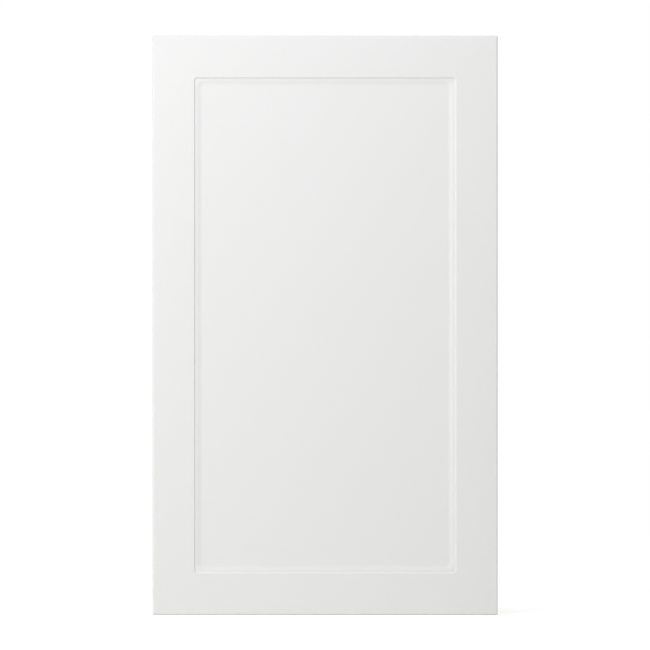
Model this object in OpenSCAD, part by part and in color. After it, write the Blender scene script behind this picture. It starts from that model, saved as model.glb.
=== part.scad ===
// Kitchen cabinet door: one board with a recessed panel routed into its front face, rounded front
// edges, and borings for cup hinges in its rear face. The door stands upright and its front faces -Y.
// The origin is the centre of the rear face.

/* [Board] */
// Width of the door
door_w = 596; // [396:1:896]
// Height of the door
door_h = 1000; // [600:1:2100]
// Thickness of the board
board_t = 19; // [18:0.5:25]

/* [Edges] */
// Radius of the four corners of the outline
corner_r = 3; // [3:0.5:12]
// Radius of the round along the front edge
edge_r = 3; // [1:0.25:3]

/* [Recess] */
// Width of the flat border round the recess
border_w = 71; // [60:1:110]
// Depth of the step at the inner edge of the border
step_d = 2.5; // [1:0.25:2.5]
// Width of the step's curved wall, seen from the front
step_run = 3.5; // [2.5:0.25:8]
// Radius of the step's corners, at its foot
step_corner_r = 3; // [1:0.5:10]
// Width of the flat ledge between the step and the moulding
ledge_w = 0.5; // [0.25:0.25:10]
// Depth of the ogee moulding
ogee_d = 2.2; // [1.5:0.1:3.5]
// Width of the ogee moulding, seen from the front
ogee_run = 12; // [10:0.5:30]
// Angle at which the ogee leaves the ledge
ogee_start = 4; // [1:1:6]
// Radius of the panel's corners, where the ogee runs out
panel_corner_r = 2.5; // [1:0.5:10]

/* [Hinge borings] */
// Number of hinges
hinge_count = 3; // [2:1:5]
// Distance from the door's ends to the centres of the outer hinges
hinge_end = 100; // [70:1:150]
// Diameter of a hinge cup boring
cup_dia = 35; // [26:0.5:40]
// Depth of a hinge cup boring
cup_depth = 12.5; // [10:0.25:13]
// Distance from the door's edge to the centre of a cup boring
cup_inset = 22.5; // [21:0.5:28]
// Diameter of the pit that the boring tool's point leaves in the floor of a cup boring
point_dia = 4; // [2:0.5:6]
// Depth of that pit
point_depth = 2; // [1:0.25:2.5]
// Distance between the two fixing holes of a hinge
fixing_pitch = 45; // [42:1:52]
// How much further from the edge the fixing holes lie than the cup
fixing_offset = 9.5; // [5.5:0.5:11]
// Diameter of a fixing hole
fixing_dia = 8; // [3:0.5:10]
// Depth of a fixing hole
fixing_depth = 11; // [8:0.25:12.5]

/* [Hidden] */
$fn = 96;
// How far a cutter reaches past the face that it cuts
proud = 1;
// How far the two arcs of an S curve overlap, so that they meet in one clean line
overlap = 0.0005;
// Heights above the rear face
ledge_z = board_t - step_d;
panel_z = ledge_z - ogee_d;
// Distances from the outline to the centre lines that the routed shapes follow
step_inset = border_w + step_run + step_corner_r;
ogee_inset = border_w + step_run + ledge_w + ogee_run + panel_corner_r;
// Distance between neighbouring hinges
hinge_pitch = (door_h - 2 * hinge_end) / (hinge_count - 1);

// Steepest angle of an S curve of two equal arcs that takes up run and rise. The lower arc starts flat
// and the upper one ends at the angle start.
function s_angle(run, rise, start) =
    atan2(rise, run) + acos((run * (1 + cos(start)) + rise * sin(start)) / (2 * norm([run, rise])));

// Radius of both arcs of that curve
function s_radius(run, rise, start) = run / (2 * sin(s_angle(run, rise, start)) - sin(start));

// A rectangle with rounded corners about the origin
module rounded_rectangle(w, h, r) {
    square([w - 2 * r, h], center = true);
    square([w, h - 2 * r], center = true);
    for (x = [-1, 1], y = [-1, 1])
        translate([x * (w / 2 - r), y * (h / 2 - r)]) circle(r);
}

// Half the section of what a routing tool clears, from its axis outwards: a flat tip, a cove and a crown
// that make up an S curve, and then straight up to past the front face
module tool_section(tip_r, run, rise, start, height) {
    steep = s_angle(run, rise, start);
    r = s_radius(run, rise, start);
    difference() {
        square([tip_r + run, height]);
        difference() {
            translate([tip_r, -proud]) square([run + proud, r * (1 - cos(steep)) + proud]);
            translate([tip_r, r]) circle(r);
        }
        translate([tip_r + run + r * sin(start), rise - r * cos(start)]) circle(r + overlap);
    }
}

// Carries a section round the rectangle w by h: a straight run along each side and a quarter turn
// about each corner. The section's x counts outwards from the rectangle.
module carry_round(w, h) {
    for (turn = [0:3]) {
        across = turn % 2 == 0 ? w : h;
        along = turn % 2 == 0 ? h : w;
        rotate(90 * turn) translate([across / 2, along / 2]) {
            rotate([90, 0, 0]) linear_extrude(along) children();
            rotate_extrude(angle = 90) children();
        }
    }
}

// What one tool clears from the front face: its path round the door at the distance inset from the
// outline, and everything inside that path, down to the height floor_z
module pocket(inset, floor_z, tip_r, run, rise, start) {
    w = door_w - 2 * inset;
    h = door_h - 2 * inset;
    depth = board_t + proud - floor_z;
    translate([0, 0, floor_z]) {
        carry_round(w, h) tool_section(tip_r, run, rise, start, depth);
        translate([-w / 2, -h / 2, 0]) cube([w, h, depth]);
    }
}

// What is taken off to round the front edge
module edge_round() {
    carry_round(door_w - 2 * corner_r, door_h - 2 * corner_r)
        translate([corner_r - edge_r, board_t - edge_r]) difference() {
            square(edge_r + proud);
            circle(edge_r);
        }
}

// The cup boring and the two fixing holes of one hinge, drilled from the rear face
module hinge_boring() {
    translate([0, 0, -proud]) cylinder(h = cup_depth + proud, d = cup_dia);
    translate([0, 0, cup_depth]) cylinder(h = point_depth, d1 = point_dia, d2 = 0);
    for (side = [-1, 1])
        translate([fixing_offset, side * fixing_pitch / 2, -proud])
            cylinder(h = fixing_depth + proud, d = fixing_dia);
}

// The door, lying on its rear face
module flat_door() {
    difference() {
        linear_extrude(board_t) rounded_rectangle(door_w, door_h, corner_r);
        edge_round();
        pocket(step_inset, ledge_z, step_corner_r, step_run, step_d, 0);
        pocket(ogee_inset, panel_z, panel_corner_r, ogee_run, ogee_d, ogee_start);
        for (i = [0:hinge_count - 1])
            translate([cup_inset - door_w / 2, hinge_end - door_h / 2 + i * hinge_pitch]) hinge_boring();
    }
}

module door_panel() {
    color("whitesmoke") rotate([90, 0, 0]) flat_door();
}

door_panel();
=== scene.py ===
"""Kitchen cabinet door with a routed recess: fine mesh, materials, light and camera. Units are metres,
apart from the camera's lens and sensor."""

from dataclasses import dataclass
import math

import bmesh
import bpy
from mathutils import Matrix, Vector

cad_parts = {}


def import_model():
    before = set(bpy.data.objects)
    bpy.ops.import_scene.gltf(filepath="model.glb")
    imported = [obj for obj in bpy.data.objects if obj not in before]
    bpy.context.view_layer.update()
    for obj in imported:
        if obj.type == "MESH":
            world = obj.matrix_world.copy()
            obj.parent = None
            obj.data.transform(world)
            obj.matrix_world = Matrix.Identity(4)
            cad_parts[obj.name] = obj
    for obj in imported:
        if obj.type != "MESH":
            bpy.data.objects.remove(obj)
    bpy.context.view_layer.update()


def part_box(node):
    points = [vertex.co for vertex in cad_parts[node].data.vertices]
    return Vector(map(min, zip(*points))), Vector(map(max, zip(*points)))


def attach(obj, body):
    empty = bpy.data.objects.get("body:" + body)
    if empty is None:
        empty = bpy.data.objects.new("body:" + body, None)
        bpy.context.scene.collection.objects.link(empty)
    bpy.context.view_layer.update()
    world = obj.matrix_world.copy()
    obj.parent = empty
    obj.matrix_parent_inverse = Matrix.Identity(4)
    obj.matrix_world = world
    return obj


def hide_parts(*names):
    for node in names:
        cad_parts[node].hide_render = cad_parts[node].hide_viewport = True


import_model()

# The door's outline and thickness come from the frame, and its front faces -Y
LOW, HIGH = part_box("door_panel")
CENTRE = (LOW + HIGH) / 2
WIDTH = HIGH.x - LOW.x
HEIGHT = HIGH.z - LOW.z
FRONT = Vector((0, -1, 0))
REAR = Vector((0, 1, 0))
QUARTER = math.pi / 2

# Edges
CORNER_R = 0.003
EDGE_R = 0.003
REAR_ARRIS_R = 0.0003

# Recess: the step, the ledge at its foot, and the ogee that runs out into the panel
BORDER_W = 0.071
STEP_D = 0.0025
STEP_RUN = 0.0035
STEP_CORNER_R = 0.003
LEDGE_W = 0.0005
OGEE_D = 0.0022
OGEE_RUN = 0.012
OGEE_START = math.radians(4)
PANEL_CORNER_R = 0.0025

# Hinge borings in the rear face. The hinges are spread evenly about the middle of the height.
HINGE_COUNT = 3
HINGE_END = 0.1
HINGE_PITCH = (HEIGHT - 2 * HINGE_END) / (HINGE_COUNT - 1)
CUP_R = 0.0175
CUP_DEPTH = 0.0125
CUP_INSET = 0.0225
CUP_X = LOW.x + CUP_INSET
POINT_R = 0.002
POINT_DEPTH = 0.002
FIXING_R = 0.004
FIXING_DEPTH = 0.011
FIXING_OFFSET = 0.0095
FIXING_PITCH = 0.045

# Mesh fineness
CORNER_STEPS = 16
ARC_STEPS = 10
REAR_ARC_STEPS = 3
CUP_STEPS = 72
FIXING_STEPS = 32

# Material slots of the door's mesh
FILM, LINER, BOARD = 0, 1, 2

# Depths of the fine relief on the surfaces, and the distance between the drill's rings
FILM_WAVE_D = 0.00003
FILM_PEEL_D = 0.000008
LINER_PEARL_D = 0.00003
BOARD_RING_D = 0.00004
BOARD_FIBRE_D = 0.00015
RING_PITCH = 0.0013

# The middle range of a noise texture, which holds most of its values
NOISE_LOW, NOISE_HIGH = 0.3, 0.7

# Camera: the image is 650 by 650 pixels, and lens and sensor are in millimetres
PIXELS = 650
METRES_PER_PIXEL = 0.0017263
DOOR_CENTRE_PX = (325.1, 325.3)
LENS_MM = 400
SENSOR_MM = 36
CLIP_DISTANCES = 10

WHITE = (1, 1, 1, 1)


# Mesh of the door

def spread(start, end, steps):
    return [start + (end - start) * i / steps for i in range(steps + 1)]


def in_plane(angle):
    """The direction at an angle from +X towards +Z, in the plane of the door."""
    return Vector((math.cos(angle), 0, math.sin(angle)))


def leaning(axis, aside, angle):
    """The direction that leans from axis by an angle towards aside."""
    return aside * math.sin(angle) + axis * math.cos(angle)


# Once round a rounded rectangle: the side of the centre that each corner is on, in X and in Z, and the
# outward directions along its arc
ROUND = [
    (side_x, side_z, in_plane(angle))
    for turn, (side_x, side_z) in enumerate(((1, 1), (-1, 1), (-1, -1), (1, -1)))
    for angle in spread(turn * QUARTER, (turn + 1) * QUARTER, CORNER_STEPS)
]


@dataclass
class Station:
    """One loop of the door's surface: a rounded rectangle whose corner arcs have their centres at the
    distance pivot inside the outline. facing is the surface's slope there, as the angle from the front
    direction towards the outline."""
    pivot: float
    radius: float
    y: float
    facing: float

    def places(self):
        half_w = WIDTH / 2 - self.pivot
        half_h = HEIGHT / 2 - self.pivot
        return [
            Vector((CENTRE.x + side_x * half_w, self.y, CENTRE.z + side_z * half_h)) + out * self.radius
            for side_x, side_z, out in ROUND
        ]

    def normals(self):
        return [leaning(FRONT, out, self.facing) for side_x, side_z, out in ROUND]


def outer_round(r, centre_y, start, end, steps):
    """Stations over an edge of the outline that is rounded with the radius r."""
    return [
        Station(CORNER_R, CORNER_R - r + r * math.sin(a), centre_y - r * math.cos(a), a)
        for a in spread(start, end, steps)
    ]


def s_curve(inset, tip_r, run, rise, start, floor_y):
    """Stations down the wall that a routing tool leaves: a crown, then a cove of the same radius. The
    crown starts at the slope start, and the cove runs out level at floor_y."""
    lean = (run * (1 + math.cos(start)) + rise * math.sin(start)) / (2 * math.hypot(run, rise))
    steep = math.atan2(rise, run) + math.acos(lean)
    r = run / (2 * math.sin(steep) - math.sin(start))
    crown_x, crown_h = tip_r + run + r * math.sin(start), rise - r * math.cos(start)
    crown = [
        Station(inset, crown_x - r * math.sin(a), floor_y - crown_h - r * math.cos(a), -a)
        for a in spread(start, steep, ARC_STEPS)
    ]
    cove = [
        Station(inset, tip_r + r * math.sin(a), floor_y - r + r * math.cos(a), -a)
        for a in spread(steep, 0, ARC_STEPS)
    ]
    return crown + cove[1:]


def bands():
    """The door's surface from the rim of the rear face to the rim of the panel, as runs of stations.
    Inside a run the surface is smooth. The two runs meet in a crease, where the ogee leaves the ledge."""
    ledge_y = LOW.y + STEP_D
    panel_y = ledge_y + OGEE_D
    step_inset = BORDER_W + STEP_RUN + STEP_CORNER_R
    ogee_inset = BORDER_W + STEP_RUN + LEDGE_W + OGEE_RUN + PANEL_CORNER_R
    rear = outer_round(REAR_ARRIS_R, HIGH.y - REAR_ARRIS_R, 2 * QUARTER, QUARTER, REAR_ARC_STEPS)
    edge = outer_round(EDGE_R, LOW.y + EDGE_R, QUARTER, 0, ARC_STEPS)
    step = s_curve(step_inset, STEP_CORNER_R, STEP_RUN, STEP_D, 0, ledge_y)
    ogee = s_curve(ogee_inset, PANEL_CORNER_R, OGEE_RUN, OGEE_D, OGEE_START, panel_y)
    ledge_end = Station(ogee_inset, ogee[0].radius, ledge_y, 0)
    return [rear + edge + step + [ledge_end], ogee]


class DoorMesh:
    """The door's mesh while it is made, with the normal at each corner of each face."""

    def __init__(self):
        self.bm = bmesh.new()
        self.normals = {}

    def loop(self, places):
        return [self.bm.verts.new(place) for place in places]

    def face(self, material, corners, normals):
        face = self.bm.faces.new(corners)
        face.material_index = material
        self.normals[face] = normals

    def edges_round(self, loop):
        return [self.bm.edges.get((vert, loop[i - 1])) for i, vert in enumerate(loop)]


def add_skin(made):
    """Adds the edges, the border, the recess and the panel. Returns the loop round the rear face."""
    runs = bands()
    rim = loop = made.loop(runs[0][0].places())
    for run in runs:
        for station, following in zip(run, run[1:]):
            inner_loop = made.loop(following.places())
            outer_normals, inner_normals = station.normals(), following.normals()
            for i in range(len(loop)):
                j = (i + 1) % len(loop)
                made.face(FILM, (loop[j], loop[i], inner_loop[i], inner_loop[j]),
                          [outer_normals[j], outer_normals[i], inner_normals[i], inner_normals[j]])
            loop = inner_loop
    made.face(FILM, loop, [FRONT] * len(loop))
    return rim


def add_hole(made, x, z, section, steps):
    """Adds a blind hole in the rear face. The section runs from the mouth to the middle of the floor:
    radius, depth, and how the surface up to there faces, as the angle from the axis inwards. Returns the
    loop round the mouth."""
    ring = [in_plane(angle) for angle in spread(0, 4 * QUARTER, steps)[:-1]]
    loops = []
    for radius, depth, facing in section:
        hub = Vector((x, HIGH.y - depth, z))
        if radius:
            loops.append(made.loop(hub + out * radius for out in ring))
        else:
            loops.append(made.loop([hub]) * steps)
    for outer, inner, (radius, depth, facing) in zip(loops, loops[1:], section[1:]):
        sides = 4 if radius else 3
        normals = [leaning(REAR, -out, facing) for out in ring]
        for i in range(steps):
            j = (i + 1) % steps
            made.face(BOARD, (outer[i], outer[j], inner[j], inner[i])[:sides],
                      [normals[i], normals[j], normals[j], normals[i]][:sides])
    return loops[0]


def add_borings(made):
    """Adds the cup boring and the two fixing holes of each hinge. Returns the loops round their mouths."""
    cup = [
        (CUP_R, 0, QUARTER),
        (CUP_R, CUP_DEPTH, QUARTER),
        (POINT_R, CUP_DEPTH, 0),
        (0, CUP_DEPTH + POINT_DEPTH, math.atan2(POINT_DEPTH, POINT_R)),
    ]
    fixing = [(FIXING_R, 0, QUARTER), (FIXING_R, FIXING_DEPTH, QUARTER), (0, FIXING_DEPTH, 0)]
    mouths = []
    for i in range(HINGE_COUNT):
        z = LOW.z + HINGE_END + i * HINGE_PITCH
        mouths.append(add_hole(made, CUP_X, z, cup, CUP_STEPS))
        for side in (-1, 1):
            fixing_z = z + side * FIXING_PITCH / 2
            mouths.append(add_hole(made, CUP_X + FIXING_OFFSET, fixing_z, fixing, FIXING_STEPS))
    return mouths


def add_rear_face(made, loops):
    """Fills the rear face between its rim and the mouths of the borings."""
    edges = [edge for loop in loops for edge in made.edges_round(loop)]
    filled = bmesh.ops.triangle_fill(made.bm, use_beauty=True, edges=edges, normal=REAR)
    for face in filled["geom"]:
        if isinstance(face, bmesh.types.BMFace):
            face.material_index = LINER
            made.normals[face] = [REAR] * len(face.verts)


def turn_outwards(made):
    """Turns round each face that looks away from the normals at its corners."""
    made.bm.normal_update()
    for face in made.bm.faces:
        face.smooth = True
        normals = made.normals[face]
        if face.normal.dot(sum(normals, Vector())) < 0:
            face.normal_flip()
            made.normals[face] = [normals[0]] + normals[:0:-1]


def door():
    made = DoorMesh()
    rim = add_skin(made)
    add_rear_face(made, [rim] + add_borings(made))
    turn_outwards(made)
    mesh = bpy.data.meshes.new("door")
    made.bm.to_mesh(mesh)
    mesh.normals_split_custom_set([normal for face in made.bm.faces for normal in made.normals[face]])
    made.bm.free()
    piece = bpy.data.objects.new("door", mesh)
    bpy.context.scene.collection.objects.link(piece)
    for material in (film(), liner(), raw_board()):
        mesh.materials.append(material)
    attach(piece, "root")
    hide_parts("door_panel")


# Materials

class Nodes:
    """A new material and short ways to add and join its nodes."""

    def __init__(self, name):
        self.material = bpy.data.materials.new(name)
        self.material.use_nodes = True
        self.tree = self.material.node_tree
        self.tree.nodes.clear()
        self.output = self.add("ShaderNodeOutputMaterial")
        self.place = self.add("ShaderNodeNewGeometry").outputs["Position"]

    def add(self, kind, **settings):
        node = self.tree.nodes.new(kind)
        for name, value in settings.items():
            setattr(node, name, value)
        return node

    def feed(self, socket, value):
        if isinstance(value, bpy.types.NodeSocket):
            self.tree.links.new(value, socket)
        else:
            socket.default_value = value

    def noise(self, scale, detail=2, roughness=0.5):
        """A noise of about scale blotches to the metre."""
        node = self.add("ShaderNodeTexNoise")
        self.feed(node.inputs["Vector"], self.place)
        node.inputs["Scale"].default_value = scale
        node.inputs["Detail"].default_value = detail
        node.inputs["Roughness"].default_value = roughness
        return node.outputs["Fac"]

    def between(self, value, low, high, from_low=NOISE_LOW, from_high=NOISE_HIGH):
        """Carries a value from the range from_low to from_high over to the range low to high."""
        node = self.add("ShaderNodeMapRange")
        node.inputs["From Min"].default_value = from_low
        node.inputs["From Max"].default_value = from_high
        node.inputs["To Min"].default_value = low
        node.inputs["To Max"].default_value = high
        self.feed(node.inputs["Value"], value)
        return node.outputs["Result"]

    def tint(self, value, low, high):
        """Goes from the colour low to the colour high as the value goes from 0 to 1."""
        node = self.add("ShaderNodeMix", data_type="RGBA")
        self.feed(node.inputs["Factor"], value)
        node.inputs["A"].default_value = (*low, 1)
        node.inputs["B"].default_value = (*high, 1)
        return node.outputs["Result"]

    def math(self, operation, *values):
        node = self.add("ShaderNodeMath", operation=operation)
        for socket, value in zip(node.inputs, values):
            self.feed(socket, value)
        return node.outputs["Value"]

    def bump(self, height, depth, below=None):
        """A relief of the given depth, which may lie on another one."""
        node = self.add("ShaderNodeBump")
        node.inputs["Strength"].default_value = 1
        node.inputs["Distance"].default_value = depth
        self.feed(node.inputs["Height"], height)
        if below:
            self.feed(node.inputs["Normal"], below)
        return node.outputs["Normal"]

    def finish(self, color, roughness, normal, specular=0.5):
        shader = self.add("ShaderNodeBsdfPrincipled")
        self.feed(shader.inputs["Base Color"], color)
        self.feed(shader.inputs["Roughness"], roughness)
        self.feed(shader.inputs["Normal"], normal)
        shader.inputs["Specular IOR Level"].default_value = specular
        self.tree.links.new(shader.outputs["BSDF"], self.output.inputs["Surface"])
        return self.material


def film():
    """White satin film, drawn over the front and the edges, with a faint orange peel."""
    n = Nodes("satin_film")
    color = n.tint(n.noise(scale=2.5, detail=3), low=(0.844, 0.844, 0.851), high=(0.855, 0.855, 0.863))
    patches = n.between(n.noise(scale=18, detail=3), low=0.34, high=0.42)
    grain = n.between(n.noise(scale=900), low=-0.03, high=0.03)
    wave = n.bump(n.noise(scale=60), FILM_WAVE_D)
    peel = n.bump(n.noise(scale=700), FILM_PEEL_D, below=wave)
    return n.finish(color, n.math("ADD", patches, grain), peel)


def liner():
    """White melamine liner of the rear face, with a fine pearl texture."""
    n = Nodes("rear_liner")
    color = n.tint(n.noise(scale=4, detail=3), low=(0.81, 0.806, 0.80), high=(0.84, 0.836, 0.83))
    roughness = n.between(n.noise(scale=25), low=0.48, high=0.58)
    pearl = n.bump(n.noise(scale=1400, detail=3), LINER_PEARL_D)
    return n.finish(color, roughness, pearl)


def cup_distance(n):
    """Distance from the axis of the nearest cup boring. The middle hinge is at the height zero, so the
    height above the nearest one is z wrapped at the pitch of the hinges."""
    split = n.add("ShaderNodeSeparateXYZ")
    n.feed(split.inputs["Vector"], n.place)
    across = n.math("SUBTRACT", split.outputs["X"], CUP_X)
    up = n.math("WRAP", split.outputs["Z"], HINGE_PITCH / 2, -HINGE_PITCH / 2)
    return n.math("SQRT", n.math("ADD", n.math("MULTIPLY", across, across), n.math("MULTIPLY", up, up)))


def raw_board():
    """Bare fibreboard inside the borings, with the rings that the drill leaves round the axis of a cup."""
    n = Nodes("raw_fibreboard")
    fibres = n.noise(scale=900, detail=6, roughness=0.7)
    clumps = n.noise(scale=260, detail=3)
    rings = n.math("SINE", n.math("MULTIPLY", cup_distance(n), 2 * math.pi / RING_PITCH))
    mottle = n.math("ADD", n.between(fibres, low=0, high=0.7), n.between(clumps, low=0, high=0.3))
    marks = n.math("MULTIPLY", rings, n.between(clumps, low=0.02, high=0.08))
    color = n.tint(n.math("ADD", mottle, marks), low=(0.27, 0.17, 0.09), high=(0.50, 0.36, 0.22))
    grooves = n.bump(rings, BOARD_RING_D)
    rough = n.bump(fibres, BOARD_FIBRE_D, below=grooves)
    return n.finish(color, n.between(fibres, low=0.8, high=0.95), rough, specular=0.2)


# Stage, light and camera

def seen_directly(tree):
    """1 for what the camera, a reflection or a see-through part looks at, and 0 for what only gives
    light."""
    path = tree.nodes.new("ShaderNodeLightPath")
    total = path.outputs["Is Camera Ray"]
    for name in ("Is Glossy Ray", "Is Transmission Ray"):
        larger = tree.nodes.new("ShaderNodeMath")
        larger.operation = "MAXIMUM"
        tree.links.new(total, larger.inputs[0])
        tree.links.new(path.outputs[name], larger.inputs[1])
        total = larger.outputs["Value"]
    return total


def world(light):
    """An even white surround that lights the door, and looks pure white to the camera."""
    made = bpy.data.worlds.new("white_surround")
    bpy.context.scene.world = made
    made.use_nodes = True
    tree = made.node_tree
    tree.nodes.clear()
    mix = tree.nodes.new("ShaderNodeMixShader")
    for strength, socket in ((light, 1), (1, 2)):
        background = tree.nodes.new("ShaderNodeBackground")
        background.inputs["Color"].default_value = WHITE
        background.inputs["Strength"].default_value = strength
        tree.links.new(background.outputs["Background"], mix.inputs[socket])
    tree.links.new(seen_directly(tree), mix.inputs["Fac"])
    output = tree.nodes.new("ShaderNodeOutputWorld")
    tree.links.new(mix.outputs["Shader"], output.inputs["Surface"])


def floor(size, color, glow_color, near, far, near_glow, far_glow):
    """A pale floor under the door. Its glow is only seen and lights nothing, so the shadow stays. It grows
    from the distance near to the distance far from the door, as the lamps' light falls off."""
    mesh = bpy.data.meshes.new("floor")
    half = size / 2
    corners = [(-half, -half, LOW.z), (half, -half, LOW.z), (half, half, LOW.z), (-half, half, LOW.z)]
    mesh.from_pydata(corners, [], [(0, 1, 2, 3)])
    piece = bpy.data.objects.new("floor", mesh)
    bpy.context.scene.collection.objects.link(piece)
    n = Nodes("pale_floor")
    diffuse = n.add("ShaderNodeBsdfDiffuse")
    diffuse.inputs["Color"].default_value = (*color, 1)
    away = n.add("ShaderNodeVectorMath", operation="DISTANCE")
    n.feed(away.inputs[0], n.place)
    away.inputs[1].default_value = (0, 0, LOW.z)
    glow = n.between(away.outputs["Value"], near_glow, far_glow, from_low=near, from_high=far)
    light = n.add("ShaderNodeEmission")
    light.inputs["Color"].default_value = (*glow_color, 1)
    n.feed(light.inputs["Strength"], n.math("MULTIPLY", seen_directly(n.tree), glow))
    both = n.add("ShaderNodeAddShader")
    n.tree.links.new(diffuse.outputs["BSDF"], both.inputs[0])
    n.tree.links.new(light.outputs["Emission"], both.inputs[1])
    n.tree.links.new(both.outputs["Shader"], n.output.inputs["Surface"])
    mesh.materials.append(n.material)


def lamp(name, place, size, power):
    """A round softbox that faces the origin, in the middle of the door's rear face."""
    data = bpy.data.lights.new(name, "AREA")
    data.shape = "DISK"
    data.size = size
    data.energy = power
    piece = bpy.data.objects.new(name, data)
    piece.location = place
    piece.rotation_euler = (-Vector(place)).to_track_quat("-Z", "Y").to_euler()
    piece.visible_camera = False
    bpy.context.scene.collection.objects.link(piece)


def camera():
    """A long lens that looks straight at the front, from where the image has the photo's scale."""
    data = bpy.data.cameras.new("camera")
    data.lens = LENS_MM
    data.sensor_width = SENSOR_MM
    distance = PIXELS * METRES_PER_PIXEL * LENS_MM / SENSOR_MM
    data.clip_end = CLIP_DISTANCES * distance
    piece = bpy.data.objects.new("camera", data)
    aside = (PIXELS / 2 - DOOR_CENTRE_PX[0]) * METRES_PER_PIXEL
    above = (DOOR_CENTRE_PX[1] - PIXELS / 2) * METRES_PER_PIXEL
    piece.location = (CENTRE.x + aside, LOW.y - distance, CENTRE.z + above)
    piece.rotation_euler = (QUARTER, 0, 0)
    bpy.context.scene.collection.objects.link(piece)
    bpy.context.scene.camera = piece


door()
camera()
world(light=0.523)
floor(size=60, color=(0.84, 0.84, 0.80), glow_color=(1, 1, 1.05),
      near=0.35, far=1.6, near_glow=0.36, far_glow=0.57)
lamp("left_softbox", place=(-2.12, -2.12, 0), size=1.2, power=20)
lamp("near_key", place=(-0.65, -1.39, 1.29), size=1.2, power=9)
lamp("top_softbox", place=(0, -1.5, 2.6), size=1.2, power=10.2)
lamp("rear_softbox", place=(0, 0.9, 0.2), size=0.5, power=3)

bpy.context.scene.view_settings.view_transform = "Standard"
